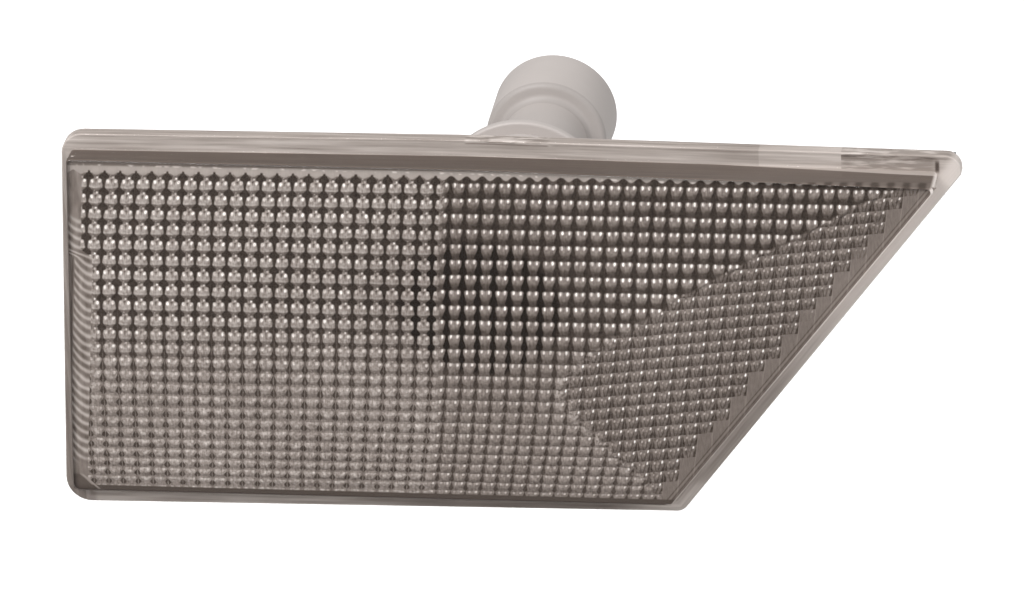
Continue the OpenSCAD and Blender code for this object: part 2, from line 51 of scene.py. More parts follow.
# Lens outline in millimetres, X to the pointed end and Z up, clockwise from the top left, with the
# radius of each corner
TOP_H, TOP_DROP = 19.2, 0.9
BOTTOM_H, BOTTOM_RISE = 21.1, 0.3
LEFT_W, LEFT_LEAN = 42.6, math.radians(2.6)
TIP_W, TOE_W, TIP_H = 48.5, 19.7, 2.0
OUTLINE = np.array([
    [-LEFT_W + TOP_H * math.tan(LEFT_LEAN), TOP_H],
    [0.0, TOP_H],
    [TIP_W, TOP_H - TOP_DROP],
    [TIP_W, TOP_H - TOP_DROP - TIP_H],
    [TOE_W, -BOTTOM_H + BOTTOM_RISE],
    [-LEFT_W - BOTTOM_H * math.tan(LEFT_LEAN), -BOTTOM_H]])
CORNER_R = [2.2, 60.0, 1.6, 0.3, 1.4, 2.6]
BOTTOM_SLOPE = BOTTOM_RISE / (OUTLINE[4][0] - OUTLINE[5][0])
FLANGE_W, FLANGE_LEFT = 1.7, 0.9
# Outline whose inset by FLANGE_W leaves only FLANGE_LEFT at the left end
WIDER = (FLANGE_W - FLANGE_LEFT) / math.cos(LEFT_LEAN)
RAISED = OUTLINE.copy()
RAISED[0] += (-WIDER, 0.0)
RAISED[5] += (-WIDER, -WIDER * BOTTOM_SLOPE)

# Unit direction of the slanting edge, from the toe up to the tip
SLANT = (OUTLINE[3] - OUTLINE[4]) / np.linalg.norm(OUTLINE[3] - OUTLINE[4])
SLANT = [float(c) for c in SLANT]

# Planes along the bulb axis, in millimetres, with the front turned to -Y
SEAT_T, FLANGE_T, RAISE_H = 1.0, 1.5, 3.0
LENS_BACK = -SEAT_T
LENS_FRONT = LENS_BACK - FLANGE_T
TILT_ACROSS, TILT_UP = math.radians(1.2), math.radians(2.0)

# Pillow lattice in millimetres: rows from FIELD_TOP down, columns from COL_LEFT to the right
FIELD_TOP, GRADE_Z = 15.49, 1.0
TOP_PITCH, FALL = 1.67, 0.0375
ROW_RISE, RISE_FROM = 0.009, -26.5
COL_LEFT, COL_PITCH, COL_LEAN = 38.38, 1.602, 0.05
# Columns are bowed, draw together below the middle and crowd past CROWD_COL
COL_BOW, COL_NARROW, CROWD_COL, CROWD = 0.0015, 0.00021, 22.0, 0.0016
# The middle field starts at column SEAM_COL, with its columns SEAM_SHIFT of a pitch to the left
SEAM_COL, SEAM_SHIFT = 21.5, 0.07
# Wedge field: its slanted columns and rows, then the bent line where it starts
WEDGE_LEFT, WEDGE_PITCH, WEDGE_LEAN = 0.8, 1.493, 0.128
WEDGE_TOP, WEDGE_ROW, WEDGE_RISE = 10.0, 1.257, 0.127
BEND_X, BEND_Z, BEND_R = 8.2, -6.5, 3.0
BEND_SLOPE, BEND_LEAN, UPPER_LEAN, UPPER_Z = 1.35, 0.2, 0.25, 6.0
# Bulb port as it shows behind the pillows: centre and half sizes
PORT_X, PORT_Z, PORT_W, PORT_H = 0.35, 2.0, 8.3, 7.4
# How far beads and barrels stand above the upper edges of their pillows, in rows
BEAD_SHIFT, BARREL_SHIFT = -0.11, 0.02

# Bulb holder in millimetres: radii, planes along Y and roundings
BORE_R, PLUG_R, COLLAR_R, NECK_R = 5.15, 6.0, 8.85, 4.5
DRUM_FOOT_R, DRUM_R, SOCKET_R = 6.38, 6.52, 5.2
PLUG_Y, BORE_END, COLLAR_Y, COLLAR_END = 17.0, 25.0, 28.0, 29.1
LEAD_IN_R, LEAD_IN_Y = 0.3, 0.4
DRUM_Y, DRUM_END, SOCKET_Y = 45.1, 53.5, 46.3
COLLAR_EDGE, FOOT_FILLET, NECK_FILLET, DRUM_EDGE, RIM_EDGE = 0.25, 0.4, 0.8, 0.6, 0.15
# Its stretches along Y darkened with painted shade, and how much: the neck, the fillet above it and the
# drum's foot
HOLDER_PAINTED_SHADE = ((29.4, 45.6, 0.12), (44.4, 45.0, 0.13), (45.12, 45.6, 0.11))


class LampSettings(bpy.types.PropertyGroup):
    """Sizes and colours that a user would change."""
    pillow_relief: bpy.props.FloatProperty(
        name="Pillow relief", description="How far a pillow stands off its valley in millimetres",
        default=0.28, min=0.1, max=0.5)
    housing_colour: bpy.props.FloatVectorProperty(
        name="Housing colour", description="Colour of the moulded housing",
        subtype="COLOR", size=3, default=(0.50, 0.46, 0.44), min=0.0, max=1.0)
    holder_colour: bpy.props.FloatVectorProperty(
        name="Holder colour", description="Colour of the bulb holder",
        subtype="COLOR", size=3, default=(0.505, 0.461, 0.438), min=0.0, max=1.0)


class Sock:
    """A shader value: wraps a node socket, and arithmetic on it adds Math nodes."""

    def __init__(self, graph, socket):
        self.graph, self.socket = graph, socket

    def math(self, operation, *others):
        """Math node over this value and any others."""
        return self.graph.math(operation, self, *others)

    def __add__(self, other):
        return self.math("ADD", other)

    def __sub__(self, other):
        return self.math("SUBTRACT", other)

    def __rsub__(self, other):
        return self.graph.math("SUBTRACT", other, self)

    def __mul__(self, other):
        return self.math("MULTIPLY", other)

    def __truediv__(self, other):
        return self.math("DIVIDE", other)

    def __rtruediv__(self, other):
        return self.graph.math("DIVIDE", other, self)

    def __abs__(self):
        return self.math("ABSOLUTE")

    def __pow__(self, other):
        return self.math("POWER", other)

    def least(self, other):
        return self.math("MINIMUM", other)

    def most(self, other):
        return self.math("MAXIMUM", other)

    def step(self, low, high):
        """0 below low, 1 above high and smooth between; falls instead when high is below low."""
        settings = {"interpolation_type": "SMOOTHSTEP", "clamp": True}
        lower, upper = min(low, high), max(low, high)
        up = self.graph.node("ShaderNodeMapRange", settings, {0: self, 1: lower, 2: upper, 3: 0.0, 4: 1.0})
        return up if low < high else 1.0 - up

    def band(self, low, high, soft):
        """1 between low and high, with soft edges."""
        return self.step(low - soft, low + soft) * self.step(high + soft, high - soft)

    def mix(self, a, b):
        """a where this is 0, b where it is 1."""
        return a + (b - a) * self if isinstance(a, Sock) else (b - a) * self + a

    __radd__ = __add__
    __rmul__ = __mul__


class Graph:
    """Node tree of a material or of the world, with its one shader."""

    def __init__(self, name, world=None):
        self.material = world or bpy.data.materials.new(name)
        self.material.use_nodes = True
        self.tree = self.material.node_tree
        self.shader = self.tree.nodes["Background" if world else "Principled BSDF"]

    def node(self, kind, settings=None, inputs=None, output=0):
        """Adds a node: settings first, then each input's value or link."""
        made = self.tree.nodes.new(kind)
        for key, value in (settings or {}).items():
            if key == "ramp":
                ramp = made.color_ramp
                while len(ramp.elements) < len(value):
                    ramp.elements.new(0.5)
                for element, (place, colour) in zip(ramp.elements, value):
                    element.position = place
                    element.color = (*colour, 1.0)
            else:
                setattr(made, key, value)
        for key, value in (inputs or {}).items():
            self.put(made.inputs[key], value)
        return Sock(self, made.outputs[output])

    def math(self, operation, *values):
        return self.node("ShaderNodeMath", {"operation": operation}, dict(enumerate(values)))

    def put(self, socket, value):
        """Links a shader value to the input, or sets the input to a number or colour."""
        if isinstance(value, Sock):
            self.tree.links.new(value.socket, socket)
        else:
            socket.default_value = value

    def set(self, **values):
        """Fills the shader's inputs, whose names are written with _ for a space."""
        for key, value in values.items():
            self.put(self.shader.inputs[key.replace("_", " ")], value)

    def millimetres(self):
        """X, Y and Z of the place, in millimetres."""
        split = self.node("ShaderNodeSeparateXYZ", {}, {0: self.place()})
        return [Sock(self, out) * 1000.0 for out in split.socket.node.outputs]

    def colour(self, red, green, blue):
        return self.node("ShaderNodeCombineColor", {}, {0: red, 1: green, 2: blue})

    def tone(self, value):
        """Colour of a grey value with the smoky brown cast of the moulding, strongest in the dark."""
        return self.colour(value, value ** 1.08 * 0.94, value ** 1.135 * 0.905)

    def glow(self, value):
        """Faint light that comes through a clear edge from behind it."""
        return self.colour(value, value * 0.95, value * 0.93)

    def place(self):
        """Object coordinates, in metres."""
        return self.node("ShaderNodeTexCoord", output=3)

    def noise(self, scale, detail=3.0):
        return self.node("ShaderNodeTexNoise", {}, {
            "Vector": self.place(), "Scale": scale, "Detail": detail})

    def drawn(self, x, y, z, scale=1.0, detail=2.0):
        """Noise over the place x, y, z, which the caller stretches."""
        where = self.node("ShaderNodeCombineXYZ", {}, {0: x, 1: y, 2: z})
        return self.node("ShaderNodeTexNoise", {}, {"Vector": where, "Scale": scale, "Detail": detail})

    def ramp(self, value, stops):
        return self.node("ShaderNodeValToRGB", {"ramp": stops}, {"Fac": value})

    def curve(self, value, stops):
        """Number that follows the value through grey stops."""
        return self.ramp(value, [(at, (grey, grey, grey)) for at, grey in stops])

    def bump(self, height, strength, distance):
        return self.node("ShaderNodeBump", {}, {
            "Height": height, "Strength": strength, "Distance": distance})


def tint(colour, factor):
    """The colour times a factor, no channel above 1."""
    return tuple(min(1.0, c * factor) for c in colour)


def moulded_plastic(name, colour, roughness, painted_shade=()):
    """Moulded plastic: faint mottling, fine grain and a slightly uneven gloss; each entry of the last
    argument gives a stretch along Y in millimetres and how much painted shade darkens its surface there."""
    g = Graph(name)
    mottle = g.noise(90.0, 4.0)
    colours = g.ramp(mottle, [(0.3, tint(colour, 0.955)), (0.7, tint(colour, 1.04))])
    if painted_shade:
        # Painted shade: each listed stretch along Y is darkened by its depth
        shade, along = 1.0, g.millimetres()[1]
        for start, end, depth in painted_shade:
            shade = shade - along.band(start, end, 0.12) * depth
        multiply = {"data_type": "RGBA", "blend_type": "MULTIPLY"}
        colours = g.node("ShaderNodeMix", multiply, {0: 1.0, 6: colours, 7: g.colour(shade, shade, shade)}, 2)
    grain = g.noise(2600.0, 2.0)
    g.set(Base_Color=colours, Roughness=g.noise(300.0) * 0.12 + (roughness - 0.06),
          Normal=g.bump(grain, 0.25, 0.00003), IOR=1.5)
    return g.material


def clear_glass(name):
    g = Graph(name)
    g.set(Base_Color=(0.97, 0.97, 0.97, 1.0), Roughness=0.0, IOR=1.5, Transmission_Weight=1.0)
    return g.material


def soft_rubber(name, colour, pores=900.0):
    """Foam or rubber: matt, with fine pores."""
    g = Graph(name)
    cells = g.node("ShaderNodeTexVoronoi", {}, {"Vector": g.place(), "Scale": pores})
    g.set(Base_Color=g.ramp(g.noise(200.0), [(0.3, tint(colour, 0.8)), (0.75, tint(colour, 1.25))]),
          Roughness=0.85, Normal=g.bump(cells, 0.5, 0.0001))
    return g.material


def rolled_metal(name, colour, roughness=0.3):
    """Strip metal with fine rolling lines along X and slight tarnish."""
    g = Graph(name)
    along_x = g.node("ShaderNodeMapping", {}, {"Vector": g.place(), "Scale": (200.0, 6000.0, 6000.0)})
    lines = g.node("ShaderNodeTexNoise", {}, {"Vector": along_x, "Scale": 1.0, "Detail": 2.0})
    tarnish = g.noise(180.0, 4.0)
    g.set(Base_Color=g.ramp(tarnish, [(0.3, tint(colour, 0.8)), (0.7, colour)]), Metallic=1.0,
          Roughness=lines * 0.2 + roughness, Normal=g.bump(lines, 0.15, 0.00002))
    return g.material


def add_mesh(name, points, faces, material, smooth=True):
    """Makes an object from points in millimetres and faces, with its place in its mesh."""
    mesh = bpy.data.meshes.new(name)
    mesh.from_pydata((np.asarray(points) * MM).tolist(), [], np.asarray(faces).tolist())
    mesh.validate()
    mesh.polygons.foreach_set("use_smooth", np.full(len(mesh.polygons), smooth))
    mesh.materials.append(material)
    thing = bpy.data.objects.new(name, mesh)
    bpy.context.scene.collection.objects.link(thing)
    return thing


def grid_faces(rows, cols, wrap=False):
    """Quads of a rows by cols grid of points, joined up across the columns when wrap is set."""
    last = cols if wrap else cols - 1
    i, j = np.meshgrid(np.arange(rows - 1), np.arange(last), indexing="ij")
    k = (j + 1) % cols
    quads = np.stack([i * cols + j, i * cols + k, (i + 1) * cols + k, (i + 1) * cols + j], -1)
    return quads.reshape(-1, 4)


def crossing(a, b, c, d):
    """Crossing point of line ab and line cd."""
    r, s, q = b - a, d - c, c - a
    return a + r * (q[0] * s[1] - q[1] * s[0]) / (r[0] * s[1] - r[1] * s[0])


def inset_corners(w, plan):
    """Corner i of the plan moves inwards along its bisector until both its edges have moved by w."""
    ahead = np.roll(OUTLINE, -1, 0) - OUTLINE
    ahead /= np.linalg.norm(ahead, axis=1)[:, None]
    normal = np.stack([ahead[:, 1], -ahead[:, 0]], 1)
    both = normal + np.roll(normal, 1, 0)
    return plan + w * both * 2 / (both * both).sum(1)[:, None]


def outline_ring(w, plan=OUTLINE, least=0.4, short=0.6, arc_steps=10, edge_steps=6):
    """Plan moved inwards by w: arcs of radius r - w, but not under least, at the corners, and straight
    between. The tip's two corners share one arc once the edge between them is down to short."""
    p = inset_corners(w, plan)
    r = np.maximum(least, np.array(CORNER_R) - w)
    r[3] = CORNER_R[3]
    merged = p[2][1] <= p[3][1] + short
    if merged:
        p[2] = p[3] = crossing(p[1], p[2], p[3], p[4])
        r[2] = r[3] = least
    heading = np.roll(OUTLINE, -1, 0) - OUTLINE
    angle = np.arctan2(heading[:, 1], heading[:, 0])
    arcs = []
    for i in range(len(p)):
        before, after = angle[i - 1], angle[i]
        turn = (after - before + math.pi) % (2 * math.pi) - math.pi
        t = np.linspace(before, before + turn, arc_steps)
        if merged and i in (2, 3):
            before, after = angle[1], angle[3]
        inward = np.array([math.sin(before) + math.sin(after), -math.cos(before) - math.cos(after)])
        centre = p[i] + r[i] * inward * 2 / (inward * inward).sum()
        arcs.append(centre + r[i] * np.stack([-np.sin(t), np.cos(t)], 1))
    s = np.linspace(0, 1, edge_steps + 2)[1:-1, None]
    ring = []
    for here, following in zip(arcs, arcs[1:] + arcs[:1]):
        ring += [here, here[-1] + (following[0] - here[-1]) * s]
    return np.concatenate(ring)


def face_y(x, z, t=0.0):
    """Y of the tilted front face at x and z, moved back by t."""
    across, up = math.tan(TILT_ACROSS), math.tan(TILT_UP) / math.cos(TILT_ACROSS)
    level = LENS_FRONT - RAISE_H + t / (math.cos(TILT_ACROSS) * math.cos(TILT_UP))
    return x * -across - z * up + level


def at_y(ring, y):
    """Points of a ring of X and Z, all at one Y or each at its own."""
    return np.stack([ring[:, 0], np.broadcast_to(y, len(ring)), ring[:, 1]], 1)


def loft(rings):
    """Stacks rings of equal length into one point grid."""
    return np.concatenate(rings), grid_faces(len(rings), len(rings[0]), wrap=True)[:, ::-1]


def row_count(z):
    """Rows of pillows passed from the top of the field down to height z, with a pitch of TOP_PITCH
    above GRADE_Z that falls linearly below it."""
    pitch = TOP_PITCH - FALL * np.maximum(GRADE_Z - z, 0)
    return (FIELD_TOP - np.maximum(z, GRADE_Z)) / TOP_PITCH + np.log(TOP_PITCH / pitch) / FALL


def lattice(x, z):
    """Column and row numbers at x and z in millimetres: the wedge field's own past its bent border."""
    zl = z - ROW_RISE * (x - RISE_FROM)
    low = np.minimum(z, 0)
    col = (x + COL_LEFT - COL_LEAN * z - COL_BOW * z * z) / (COL_PITCH - COL_NARROW * low * low)
    shift = SEAM_SHIFT * np.clip((col - SEAM_COL + 1) / 4, 0, 1)
    col = col + CROWD * np.maximum(col - CROWD_COL, 0) ** 2 + shift
    row = row_count(zl)
    q = z - BEND_Z
    bend = BEND_SLOPE * (np.sqrt(q * q + BEND_R * BEND_R) - BEND_R)
    wedge = x - (BEND_X + bend + BEND_LEAN * q + UPPER_LEAN * np.maximum(z - UPPER_Z, 0))
    col_w = (x - WEDGE_LEAN * z - WEDGE_LEFT) / WEDGE_PITCH
    row_w = (WEDGE_TOP + WEDGE_RISE * x - z) / WEDGE_ROW
    return np.where(wedge > 0, col_w, col), np.where(wedge > 0, row_w, row)


def optic_sheet(step, depth, relief):
    """Bulging pillows on a grid over the raised front: y = front + depth - relief * sin(pi u) * sin(pi v)
    inside the field, fading out at its border; x runs between the slanting ends."""
    ring = inset_corners(FLANGE_W + 0.1, RAISED)

    def top(x):
        return np.where(x < 0, ring[1][1], ring[1][1] + x * (ring[2][1] - ring[1][1]) / ring[2][0])

    def base(x):
        return ring[5][1] + (x - ring[5][0]) * (ring[4][1] - ring[5][1]) / (ring[4][0] - ring[5][0])

    def left(z):
        return ring[5][0] + (z - ring[5][1]) * (ring[0][0] - ring[5][0]) / (ring[0][1] - ring[5][1])

    def right(z):
        slanting = (z - ring[4][1]) * (ring[3][0] - ring[4][0]) / (ring[3][1] - ring[4][1])
        return np.minimum(ring[4][0] + slanting, ring[2][0])

    rows = int((ring[0][1] - ring[5][1]) / step) + 1
    cols = int((ring[2][0] - ring[5][0]) / step) + 1
    s = np.linspace(0, 1, cols)[None]
    t = np.linspace(0, 1, rows)[:, None]
    z = ring[0][1] + (ring[5][1] - ring[0][1]) * t + 0 * s
    for _ in range(3):
        x = left(z) + (right(z) - left(z)) * s
        z = top(x) + (base(x) - top(x)) * t
    col, row = lattice(x, z)
    u, v = col % 1, row % 1
    # Plain margins at the left, right, bottom and top, and the width over which the pillows fade in
    plain_l, plain_r, plain_b, plain_t, fade = 2.2, 2.6, 1.0, 0.9, 0.6
    edge = np.minimum.reduce([x - left(z) - plain_l, right(z) - x - plain_r,
                              z - base(x) - plain_b, top(x) - z - plain_t])
    y = face_y(x, z, depth) - relief * np.sin(np.pi * u) * np.sin(np.pi * v) * np.clip(edge / fade, 0, 1)
    return np.stack([x, y, z], -1).reshape(-1, 3), grid_faces(rows, cols)[:, ::-1]


def edge_distances(x, z):
    """Distances in millimetres from the left, top, bottom and slanting edges of the lens outline."""
    lean = math.tan(LEFT_LEAN)
    left = (x + LEFT_W + z * lean) * math.cos(LEFT_LEAN)
    top = TOP_H - z - x.most(0.0) * (TOP_DROP / TIP_W)
    bottom = z + BOTTOM_H - (x - OUTLINE[5][0]) * BOTTOM_SLOPE
    slant = (z + BOTTOM_H - BOTTOM_RISE) * SLANT[0] - (x - TOE_W) * SLANT[1]
    return left, top, bottom, slant


def spot(u, v, at_u, at_v, wide, high):
    """Soft spot at (at_u, at_v): 1 inside, 0 outside an ellipse of half axes wide and high."""
    du, dv = (u - at_u) / wide, (v - at_v) / high
    return (du * du + dv * dv).step(1.0, 0.1)


class Pillows:
    """Tones of the pillow optics, their light and shade painted in: three fields of cells and the plain
    borders round them.
    """

    def __init__(self, g):
        self.g = g
        self.x, _, self.z = g.millimetres()
        self.blur = g.noise(330.0, 1.0) - 0.5
        self.wobble = g.noise(620.0, 2.0) - 0.5
        self.fine = g.noise(2600.0, 2.0) - 0.5
        self.slow = g.noise(70.0, 2.0) - 0.5
        self.specks = g.noise(2300.0, 2.0).step(0.45, 0.66)
        # Fine vertical lines, and slow bands along the height
        self.reeds = g.drawn(self.x * 5.5, 0.0, self.z * 1.3) - 0.5
        self.swirl = g.drawn(self.x * 1.3, 0.0, self.z * 0.35) - 0.5
        self.edges = edge_distances(self.x, self.z)
        self.count()
        self.inside = (self.wedge + self.blur * 3.0).step(-0.5, 0.5)
        # Where the rows are close together, the cells are wider and paler
        self.deep = self.level.step(3.0, -11.0)
        self.u, self.v = self.cell(self.col, self.line)
        self.u_w, self.v_w = self.cell(self.col_w, self.row_w)
        above = self.row + 0.33 + (self.col * math.tau).math("COSINE") * 0.13 + self.wobble * 0.12
        self.rim = above.step(0.05, -0.07)

    def count(self):
        """Column and row numbers of the fields by the formulas of lattice, and how far a point is
        past the wedge field's bent border."""
        x, z = self.x, self.z
        self.level = z - (x - RISE_FROM) * ROW_RISE
        low, high = z.least(0.0), z.most(0.0)
        col = x + COL_LEFT - z * COL_LEAN - z * z * COL_BOW - high * high * x.step(-12.0, -36.0) * 0.0006
        col = col / (COL_PITCH - low * low * COL_NARROW)
        far = (col - CROWD_COL).most(0.0)
        self.col = col + far * far * CROWD + (col - SEAM_COL).step(-1.0, 3.0) * SEAM_SHIFT
        grown = TOP_PITCH / (TOP_PITCH - (GRADE_Z - self.level).most(0.0) * FALL)
        self.row = (FIELD_TOP - self.level.most(GRADE_Z)) / TOP_PITCH + grown.math("LOGARITHM", math.e) / FALL
        self.line = self.row + (self.col - SEAM_COL).step(-0.1, 0.1).mix(BEAD_SHIFT, BARREL_SHIFT)
        q = z - BEND_Z
        bend = ((q * q + BEND_R * BEND_R).math("SQRT") - BEND_R) * BEND_SLOPE
        self.wedge = x - (bend + q * BEND_LEAN + (z - UPPER_Z).most(0.0) * UPPER_LEAN + BEND_X)
        self.col_w = (x - z * WEDGE_LEAN - WEDGE_LEFT) / WEDGE_PITCH
        self.row_w = (x * WEDGE_RISE - z + WEDGE_TOP) / WEDGE_ROW

    def cell(self, column, line):
        """Place within a cell: across from -1 to 1, down from 0 to 1."""
        across = (column + self.wobble * 0.13).math("FRACT")
        return across * 2.0 - 1.0, (line + self.wobble * 0.16).math("FRACT")

    def chance(self, seed):
        """Random number from 0 to 1 for each cell."""
        numbers = {0: self.col.math("FLOOR"), 1: self.line.math("FLOOR"), 2: seed}
        place = self.g.node("ShaderNodeCombineXYZ", {}, numbers)
        return self.g.node("ShaderNodeTexWhiteNoise", {"noise_dimensions": "3D"}, {"Vector": place})

    def beads(self):
        """Left field: chains of beads with two painted highlights on their upper corners, the gaps in painted
        shade. Mask and tone.
        """
        u, v, deep, curve = self.u, self.v, self.deep, self.g.curve
        side, luck = abs(u), self.chance(1.0)
        thin = curve(v, [(0.0, 0.64), (0.06, 0.73), (0.44, 0.84), (0.54, 0.82),
                         (0.62, 0.62), (0.76, 0.36), (0.94, 0.33), (1.0, 0.60)])
        wide = curve(v, [(0.0, 0.96), (0.16, 1.0), (0.3, 0.86), (0.45, 0.66),
                         (0.62, 0.58), (0.78, 0.68), (0.9, 0.9), (1.0, 0.98)])
        bead = (deep.mix(thin, wide) - side + self.fine * 0.10).step(-0.09, 0.09)
        grade = curve(v, [(0.0, 0.34), (0.12, 0.45), (0.36, 0.44), (0.5, 0.56),
                          (0.57, 0.27), (0.72, 0.18), (0.88, 0.30), (1.0, 0.34)])
        crown = v.step(0.75, 0.2) * (1.0 - side * 0.6) * (self.specks * 0.21 + 0.05)
        tone = deep.mix(grade, 0.30 + crown) * (1.0 - side * side * 0.26)
        tone = tone - spot(u, v, 0.0, 0.0, 0.20, 0.30) * (1.0 - deep) * 0.24
        # Painted highlights: two bright dots on the upper corners, uneven from cell to cell, and small ones
        # on the neck
        corner_highlight = (1.0 - deep * 0.72) * 0.48
        tone = tone + spot(u, v, -0.49, 0.12, 0.25, 0.16) * corner_highlight * (luck * 0.7 + 0.5)
        tone = tone + spot(u, v, 0.50, 0.12, 0.24, 0.15) * corner_highlight * (1.45 - luck * 0.7)
        tone = tone + spot(u, v, 0.12, 0.88, 0.16, 0.09) * (1.0 - deep) * (luck * 0.5 + 0.25)
        tone = tone + spot(u, v, -0.14, 0.72, 0.12, 0.06) * (1.0 - deep) * (1.0 - luck) * 0.35
        # Gaps between the beads in painted shade, with a paler line down their middle in the deep rows
        tear = (1.0 - side + self.fine * 0.2).step(0.10, 0.02)
        return bead, bead.mix(0.056 + deep * 0.030 + tear * deep * 0.15, tone)

    def barrels(self):
        """Middle field: barrels that hang from two painted highlights, with a dark foot and gaps in painted
        shade. Mask and tone.
        """
        u, v, deep, curve = self.u, self.v, self.deep, self.g.curve
        side, flicker = abs(u), self.chance(3.0)
        slim = curve(v, [(0.0, 0.66), (0.1, 0.80), (0.35, 0.76), (0.55, 0.62),
                         (0.78, 0.48), (0.9, 0.46), (1.0, 0.6)])
        stout = curve(v, [(0.0, 0.98), (0.14, 0.94), (0.4, 0.80), (0.72, 0.66), (0.9, 0.8), (1.0, 0.96)])
        barrel = (deep.mix(slim, stout) - side + self.fine * 0.12).step(-0.09, 0.09)
        # Tone down the barrel, falling to a dark foot of painted shade
        grade = curve(v, [(0.0, 0.17), (0.1, 0.36), (0.3, 0.29), (0.5, 0.22),
                          (0.62, 0.13), (0.88, 0.09), (1.0, 0.11)])
        tone = deep.mix(grade, 0.33 - v * 0.10) * (1.0 - side * side * 0.2)
        tone = tone - spot(u, v, 0.0, 0.0, 0.16, 0.34) * (1.0 - deep) * 0.12
        # Two painted highlights at the top of each barrel, uneven from cell to cell
        tone = tone + spot(u, v, -0.44, 0.14, 0.21, 0.16) * (1.0 - deep * 0.7) * (0.42 + flicker * 0.4)
        tone = tone + spot(u, v, 0.44, 0.13, 0.21, 0.16) * (1.0 - deep * 0.45) * (0.86 - flicker * 0.25)
        # Gaps between the barrels in painted shade
        return barrel, barrel.mix(0.056 + deep * 0.035, tone)

    def darts(self):
        """Wedge field: darts of painted shade between mid-grey bodies with small painted highlights. Mask and
        tone.
        """
        u, v = self.u_w, self.v_w
        dart = (abs(u) + v.step(-0.1, 1.0) * 0.42 + self.fine * 0.25).step(0.90, 1.10) * v.step(0.06, 0.22)
        groove = abs(abs(u) - (0.50 - v * 0.42)).step(0.13, 0.03)
        # Bodies with small painted highlights; the darts themselves in painted shade
        tone = 0.20 + (1.0 - v) * 0.04 - groove * 0.085 + spot(u, v, 0.56, 0.16, 0.16, 0.15) * 0.85
        tone = tone + spot(u, v, -0.42, 0.22, 0.15, 0.13) * 0.30
        tone = tone + spot(u, v, 0.08, 0.30, 0.12, 0.12) * 0.14
        return dart, dart.mix(tone, 0.08 + (1.0 - abs(u)).step(0.10, 0.02) * 0.09)

    def fields(self):
        """The three fields joined, with painted shade before the bulb port, fine lines and grain."""
        bead, left = self.beads()
        barrel, middle = self.barrels()
        dart, far = self.darts()
        seam = (self.col - SEAM_COL + self.blur * 0.6).step(-0.2, 0.2)
        value = self.inside.mix(seam.mix(left, middle), far)
        value = value + self.wedge.band(-0.9, 0.9, 0.6) * self.z.step(4.0, -4.0) * self.specks * 0.14
        gaps = 1.0 - self.inside.mix(seam.mix(bead, barrel), 1.0 - dart)
        # Painted shade where the bulb port lies behind the pillows: deepest in the gaps, with a fainter
        # fringe round it
        across, up = (self.x - PORT_X) / PORT_W, (self.z - PORT_Z) / PORT_H
        reach = across * across + up * up
        port, port_fringe_shade = reach.step(1.12, 0.75), reach.step(3.6, 0.4)
        value = value * (1.0 - port * (gaps * 0.85 + 0.03)) * (1.0 - port_fringe_shade * (1.0 - seam * 0.7) * 0.15)
        grain = self.g.noise(3400.0, 1.0) - 0.5
        return value * (self.reeds * 1.1 + grain * 1.1 + self.slow * 0.5 + 1.0)

    def right_end(self, value):
        """Each row stops at its last whole cell, then comes a smoky gap with lines along its edge."""
        across, down = self.col_w.math("FLOOR") + 0.5, self.row_w.math("FLOOR") + 0.5
        x = across * WEDGE_PITCH + WEDGE_LEFT + (WEDGE_TOP - down * WEDGE_ROW) * WEDGE_LEAN
        x = x / (1.0 - WEDGE_LEAN * WEDGE_RISE)
        cell_slant = edge_distances(x, x * WEDGE_RISE - down * WEDGE_ROW + WEDGE_TOP)[3]
        smoke = 0.235 + self.slow * 0.20 + self.reeds * 0.14 + abs(self.u_w).step(0.86, 0.98) * 0.06
        value = (cell_slant.step(3.6, 3.45) * self.inside).mix(value, smoke)
        slant = self.edges[3]
        lines = slant.band(2.18, 2.28, 0.05) * 0.05 - slant.band(1.98, 2.08, 0.05) * 0.10
        lines = lines - slant.band(2.36, 2.46, 0.05) * 0.10
        return slant.step(3.0, 2.8).mix(value, smoke + lines)

    def rims(self, value):
        """Pale scalloped rim with a dotted painted highlight over the first row, and a dark line of painted
        shade under the last.
        """
        top, bottom = self.edges[1:3]
        # Dotted painted highlight under the rounded top edge of the front
        dots = self.g.noise(1500.0, 1.0).step(0.52, 0.66) * top.band(2.35, 2.55, 0.06)
        tone = 0.23 + (self.row + 0.33).step(-0.50, -0.36) * 0.22 + dots * 0.30 + self.reeds * 0.10
        value = self.rim.mix(value, tone)
        # Dark line of painted shade under the last row
        return bottom.step(2.35, 2.2).mix(value, 0.11 + bottom.step(2.2, 1.6) * 0.06)

    def left_end(self, value):
        """Fluted strip beside the first column, its flutes painted as highlight and shade, smooth margin
        outside it and dark corner below.
        """
        z, left, bottom = self.z, self.edges[0], self.edges[2]
        across = self.x + 41.25 - z * 0.084 + z.step(6.4, 7.6) * 1.25
        bow = z + across * 1.6 - across * across * 0.42 + self.wobble * 0.35
        # The flutes exist only as paint: stripes of painted highlight and shade bowed across the strip
        flute = (bow * (math.tau / 0.98)).math("SINE") * 0.5 + 0.5
        fluted = z.step(11.6, 10.0) * z.step(-16.6, -15.4)
        strip = 0.26 + self.swirl * 0.46 + ((flute ** 1.8) * 0.33 - 0.04) * fluted
        value = (across.step(1.86, 1.74) * self.rim.step(0.6, 0.4)).mix(value, strip)
        margin = 0.27 + self.swirl * 0.16 + left.band(1.35, 1.55, 0.08) * 0.07
        margin = margin - across.band(-0.3, -0.1, 0.08) * 0.10
        value = across.step(0.1, -0.1).mix(value, margin)
        corner = left + bottom
        low_left = left.step(2.7, 2.4) * bottom.step(3.6, 3.3)
        value = (corner.step(3.55, 3.35) * low_left).mix(value, 0.13 + self.swirl * 0.06)
        return (corner.band(3.6, 3.85, 0.1) * low_left).mix(value, 0.38)


